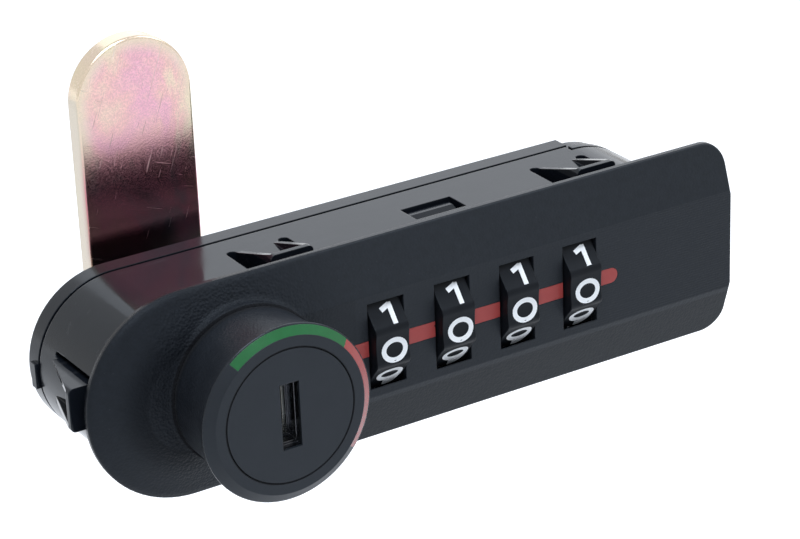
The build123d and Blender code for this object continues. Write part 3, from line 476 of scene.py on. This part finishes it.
def yellow_zinc():
    """Steel with a yellow passivated zinc coat that shines pink, yellow and green, with scratches, and
    painted dark reflections low on its front face and on its side edges.
    """
    n = Nodes("yellow_zinc")
    cloud = n.noise(95, 4, 0.6, (1, 1, 0.55), 0.6)
    fine = n.noise(3400, 3, 0.6)
    scratch = n.math("ADD", n.streaks(3200, 20, 0.35, 0.73, 0.78), n.streaks(3000, 24, 1.9, 0.73, 0.78), True)
    # Painted dark reflection on the cam's side edges: the film there duller and darker
    side = n.span(n.size(n.axis("X")), CAM_HALF - 0.15 * MM, CAM_HALF - 0.05 * MM)
    # A painted dark reflection, in dark red tints, for the low part of the front face
    dark_reflection = n.ramp(cloud, [(0.35, (0.22, 0.14, 0.20)), (0.5, (0.50, 0.15, 0.22)), (0.65, (0.42, 0.19, 0.17))])
    film = n.mix(n.times(zinc_border(n, cloud), 0.6), zinc_film(n, cloud), (0.70, 0.70, 0.48))
    film = n.mix(n.times(zinc_dark_reflection(n), 0.85), film, dark_reflection)
    film = n.mix(n.times(side, 0.7), film, (0.58, 0.53, 0.44))
    film = n.mix(n.times(scratch, 0.3), film, (0.80, 0.72, 0.66))
    n.bump([(fine, 0.5, 0.02 * MM), (scratch, 0.3, 0.02 * MM)], 0.2 * MM)
    rough = n.plus(n.plus(n.times(fine, 0.24), 0.08), n.times(scratch, 0.22))
    return n.set(color=film, rough=rough, metal=1.0)


def metal(name, low, high, rough):
    """Plain metal with a fine grain."""
    n = Nodes(name)
    grainy = n.noise(1800, 4, 0.6)
    n.bump([(grainy, 0.2, 0.02 * MM)], 0.1 * MM)
    worn = n.ramp(n.noise(300, 3), [(0.3, (rough,) * 3), (0.75, (rough + 0.12,) * 3)])
    return n.set(color=n.mix(grainy, low, high), rough=worn, metal=1.0)


def white_print():
    """The numerals' white print."""
    n = Nodes("white_print")
    n.bump([(n.noise(3500), 0.15, 0.02 * MM)])
    return n.set(color=n.mix(n.noise(1500, 3), (0.88, 0.89, 0.88), (0.93, 0.94, 0.93)), rough=0.45)


def arc(cx, cy, rx, ry, start, end):
    """Points along an ellipse between two angles in degrees."""
    points = []
    for step in range(ARC_STEPS + 1):
        angle = radians(start + (end - start) * step / ARC_STEPS)
        points.append((cx + rx * cos(angle), cy + ry * sin(angle)))
    return points


def ring(cx, cy, rx, ry):
    """A whole ellipse as one closed stroke."""
    return (arc(cx, cy, rx, ry, 0, 360)[:-1], True)


def numeral(digit):
    """The strokes of a numeral as (points, closed), in a box from -1 to 1 each way."""
    strokes = [
        [ring(0, 0, 1, 1)],
        [([(0.3, 1.16), (0.3, -1)], False), ([(-0.55, 0.56), (0.3, 0.98)], False)],
        [(arc(0, 0.42, 0.9, 0.58, 165, -25) + [(-0.9, -1), (0.95, -1)], False)],
        [(arc(0, 0.48, 0.85, 0.52, 160, -75), False), (arc(0, -0.47, 0.95, 0.53, 80, -160), False)],
        [([(0.42, -1), (0.42, 1), (-0.95, -0.42), (0.98, -0.42)], False)],
        [([(0.85, 1), (-0.7, 1)] + arc(0, -0.36, 0.92, 0.64, 140, -155), False)],
        [ring(0, -0.28, 1, 0.72), (arc(0.3, -0.26, 1.3, 1.26, 178, 84), False)],
        [([(-0.92, 1), (0.92, 1), (-0.25, -1)], False)],
        [ring(0, 0.5, 0.78, 0.5), ring(0, -0.46, 0.95, 0.54)],
        [ring(0, 0.28, 1, 0.72), (arc(-0.3, 0.26, 1.3, 1.26, -2, -96), False)]]
    return strokes[digit]


def ribbon(points, closed, width):
    """The two sides of a stroke of one width, mitred at its corners."""
    count = len(points)
    left, right = [], []
    for index, point in enumerate(points):
        here = Vector(point)
        before = Vector(points[index - 1]) if closed or index else None
        after = Vector(points[(index + 1) % count]) if closed or index < count - 1 else None
        into = (here - before).normalized() if before else (after - here).normalized()
        out = (after - here).normalized() if after else into
        normal_in = Vector((-into.y, into.x))
        normal_out = Vector((-out.y, out.x))
        mitre = (normal_in + normal_out).normalized()
        reach = width / 2 / max(MITRE_LEAST, mitre.dot(normal_in))
        left.append(here + mitre * reach)
        right.append(here - mitre * reach)
    return left, right


def on_wheel(x, turn, u, v, lift):
    """A point over a facet: u along the axle, v up the facet, lifted off its hollow or its ridge."""
    foot = DIAL_RIDGE - RIDGE_DROP
    half_ridge = RIDGE_W / 2 / DIAL_RIDGE
    edge = pi / DIGITS - half_ridge
    half = foot * sin(edge)
    sag = foot * cos(edge) - DIAL_HOLLOW
    bend = (half ** 2 + sag ** 2) / (2 * sag)
    if abs(v) < half:
        reach = DIAL_HOLLOW + bend - sqrt(bend ** 2 - v ** 2)
    else:
        side = foot * sin(half_ridge)
        drop = DIAL_RIDGE - foot * cos(half_ridge)
        ridge_bend = (side ** 2 + drop ** 2) / (2 * drop)
        middle = DIAL_RIDGE - ridge_bend
        off = abs(v) - middle * sin(pi / DIGITS)
        reach = middle * cos(pi / DIGITS) + sqrt(ridge_bend ** 2 - off ** 2)
    normal = Vector((0, -cos(turn), sin(turn)))
    rise = Vector((0, sin(turn), cos(turn)))
    return Vector((x + u, AXIS_Y, 0)) + normal * (reach + lift) + rise * v


def print_stroke(mesh, x, turn, points, closed, lift):
    """Adds one stroke to the mesh as a thin band that is bent over its facet."""
    half_w = (DIGIT_W - STROKE) / 2
    half_h = (DIGIT_H - STROKE) / 2
    scaled = [(u * half_w + DIGIT_RIGHT, v * half_h - DIGIT_DOWN) for u, v in points]
    left, right = ribbon(scaled, closed, STROKE)
    rings = []
    for a, b in zip(left, right):
        corners = ((a, lift), (b, lift), (b, -DIGIT_SINK), (a, -DIGIT_SINK))
        rings.append([mesh.verts.new(on_wheel(x, turn, p.x, p.y, up)) for p, up in corners])
    pairs = list(zip(rings, rings[1:]))
    if closed:
        pairs.append((rings[-1], rings[0]))
    else:
        mesh.faces.new(rings[0][::-1])
        mesh.faces.new(rings[-1])
    for first, second in pairs:
        for side in range(4):
            after = (side + 1) % 4
            mesh.faces.new((first[side], first[after], second[after], second[side]))


def numerals(number, material):
    """The ten numerals of one wheel as one thin raised print."""
    low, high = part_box(f"dial_{number}")
    x = (low.x + high.x) / 2
    mesh = bmesh.new()
    for digit in range(DIGITS):
        turn = 2 * pi * digit / DIGITS
        for layer, (points, closed) in enumerate(numeral(digit)):
            print_stroke(mesh, x, turn, points, closed, DIGIT_LIFT + layer * LAYER_LIFT)
    bmesh.ops.recalc_face_normals(mesh, faces=mesh.faces)
    data = bpy.data.meshes.new(f"numerals_{number}")
    mesh.to_mesh(data)
    mesh.free()
    data.materials.append(material)
    piece = bpy.data.objects.new(f"numerals_{number}", data)
    bpy.context.scene.collection.objects.link(piece)
    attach(piece, f"dial_{number}")


def dress(material, *names):
    """Gives CAD nodes a material."""
    for name in names:
        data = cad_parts[name].data
        data.materials.clear()
        data.materials.append(material)


def smooth(names):
    """Shades the round faces of CAD nodes smoothly and keeps their edges sharp."""
    for name in names:
        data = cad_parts[name].data
        for face in data.polygons:
            face.use_smooth = True
        data.set_sharp_from_angle(angle=SHARP_ANGLE)


def dress_lock():
    """Gives every piece its material and the dials their numerals."""
    dress(fascia_plastic(), "front_plate")
    dress(case_plastic(), "housing", "rear_cover")
    dress(knob_plastic(), "knob")
    dress(plug_plastic(), "key_plug")
    dial_black = dial_plastic()
    discs = inner_plastic()
    white = white_print()
    for number in range(1, 5):
        dress(dial_black, f"dial_{number}")
        dress(discs, f"code_disc_{number}")
        numerals(number, white)
    dress(paint("red_print", (0.31, 0.038, 0.034), (0.37, 0.050, 0.044), CHIP), "red_stripe")
    red_ring = paint("red_ring", (0.30, 0.036, 0.033), (0.35, 0.047, 0.043), rough=0.24, level=0.45)
    dress(red_ring, "red_indicator")
    dress(paint("green_print", (0.003, 0.098, 0.022), (0.005, 0.13, 0.032), rough=0.3), "green_indicator")
    dress(yellow_zinc(), "cam", "cam_washer", "cam_screw", "rear_screws")
    zinc_casting = metal("zinc_casting", (0.5, 0.51, 0.53), (0.6, 0.61, 0.63), 0.35)
    dress(zinc_casting, "spindle", "locking_bar")
    spring_steel = metal("spring_steel", (0.55, 0.55, 0.57), (0.66, 0.66, 0.68), 0.22)
    dress(spring_steel, "plug_clip", "dial_axle", "bar_springs", "detent_spring")
    # The wafers' brass is dimmed and greyed as painted shade, deep in the keyway
    dress(metal("brass", (0.42, 0.41, 0.37), (0.54, 0.52, 0.47), 0.22), "wafers")


def area_light(name, place, aim, size, power):
    """A soft rectangular lamp of daylight that looks at a point."""
    data = bpy.data.lights.new(name, "AREA")
    data.shape = "RECTANGLE"
    data.size, data.size_y = size
    data.energy = power
    data.color = DAYLIGHT
    made = bpy.data.objects.new(name, data)
    made.location = place
    made.rotation_euler = (Vector(aim) - Vector(place)).to_track_quat("-Z", "Y").to_euler()
    bpy.context.scene.collection.objects.link(made)


def seen_ray(tree):
    """1 for the rays that see the background, straight or in metal and glass, and 0 for the rest."""
    path = tree.nodes.new("ShaderNodeLightPath")
    total = path.outputs["Is Camera Ray"]
    for name in ("Is Glossy Ray", "Is Transmission Ray"):
        larger = tree.nodes.new("ShaderNodeMath")
        larger.operation = "MAXIMUM"
        tree.links.new(total, larger.inputs[0])
        tree.links.new(path.outputs[name], larger.inputs[1])
        total = larger.outputs[0]
    return total


def world_light():
    """White where it is seen, and a soft surround that is bright behind on the right."""
    world = bpy.data.worlds.new("studio")
    bpy.context.scene.world = world
    world.use_nodes = True
    tree = world.node_tree
    tree.nodes.clear()
    out = tree.nodes.new("ShaderNodeOutputWorld")
    seen = tree.nodes.new("ShaderNodeBackground")
    lit = tree.nodes.new("ShaderNodeBackground")
    mix = tree.nodes.new("ShaderNodeMixShader")
    place = tree.nodes.new("ShaderNodeTexCoord")
    toward = tree.nodes.new("ShaderNodeVectorMath")
    spread = tree.nodes.new("ShaderNodeMapRange")
    ramp = tree.nodes.new("ShaderNodeValToRGB")
    level = tree.nodes.new("ShaderNodeMath")
    seen.inputs["Color"].default_value = (*WHITE, 1)
    seen.inputs["Strength"].default_value = 1.0
    lit.inputs["Color"].default_value = (*DAYLIGHT, 1)
    toward.operation = "DOT_PRODUCT"
    toward.inputs[1].default_value = BRIGHT_SIDE
    spread.inputs["From Min"].default_value = -0.8
    spread.inputs["From Max"].default_value = 0.8
    level.operation = "MULTIPLY"
    level.inputs[1].default_value = WORLD_TOP
    while len(ramp.color_ramp.elements) < len(WORLD_STOPS):
        ramp.color_ramp.elements.new(0.5)
    for element, (at, value) in zip(ramp.color_ramp.elements, WORLD_STOPS):
        element.position = at
        element.color = (value, value, value, 1)
    tree.links.new(place.outputs["Generated"], toward.inputs[0])
    tree.links.new(toward.outputs["Value"], spread.inputs["Value"])
    tree.links.new(spread.outputs["Result"], ramp.inputs["Fac"])
    tree.links.new(ramp.outputs["Color"], level.inputs[0])
    tree.links.new(level.outputs[0], lit.inputs["Strength"])
    tree.links.new(seen_ray(tree), mix.inputs[0])
    tree.links.new(lit.outputs[0], mix.inputs[1])
    tree.links.new(seen.outputs[0], mix.inputs[2])
    tree.links.new(mix.outputs[0], out.inputs[0])


def floor():
    """A plain pale floor that looks white where it is seen and keeps the lock's shadow."""
    n = Nodes("floor_white")
    n.set(color=FLOOR_COLOUR, rough=0.7)
    reach = n.measure("LENGTH", {0: n.place})
    level = n.plus(n.times(n.span(reach, GLOW_NEAR, GLOW_FAR), FAR_GLOW), FLOOR_GLOW)
    glow = n.add("ShaderNodeEmission", sockets={"Color": (*WHITE, 1), "Strength": level})
    both = n.add("ShaderNodeAddShader", sockets={0: n.shader.outputs[0], 1: glow.outputs[0]})
    mixed = n.add("ShaderNodeMixShader", sockets={
        0: seen_ray(n.tree), 1: n.shader.outputs[0], 2: both.outputs[0]})
    n.link(mixed.outputs[0], n.tree.nodes["Material Output"].inputs[0])
    bpy.ops.mesh.primitive_plane_add(size=FLOOR_SIZE, location=(0, 0, FLOOR_Z))
    plane = bpy.context.object
    plane.name = "floor"
    plane.data.materials.append(n.material)


camera()
smooth(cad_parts)
dress_lock()
world_light()
area_light("key_box", (0.45, -0.12, 0.4), (0.16, -0.05, -0.06), (0.35, 0.35), 0.7)
area_light("front_box", (-0.06, -0.2, 0.42), (0.03, 0.0, 0.0), (0.3, 0.3), 1.8)
area_light("rear_box", (0.37, 0.56, 0.30), (0.04, 0.01, 0.01), (0.8, 0.5), 0.8)
floor()
bpy.context.scene.view_settings.view_transform = "Standard"
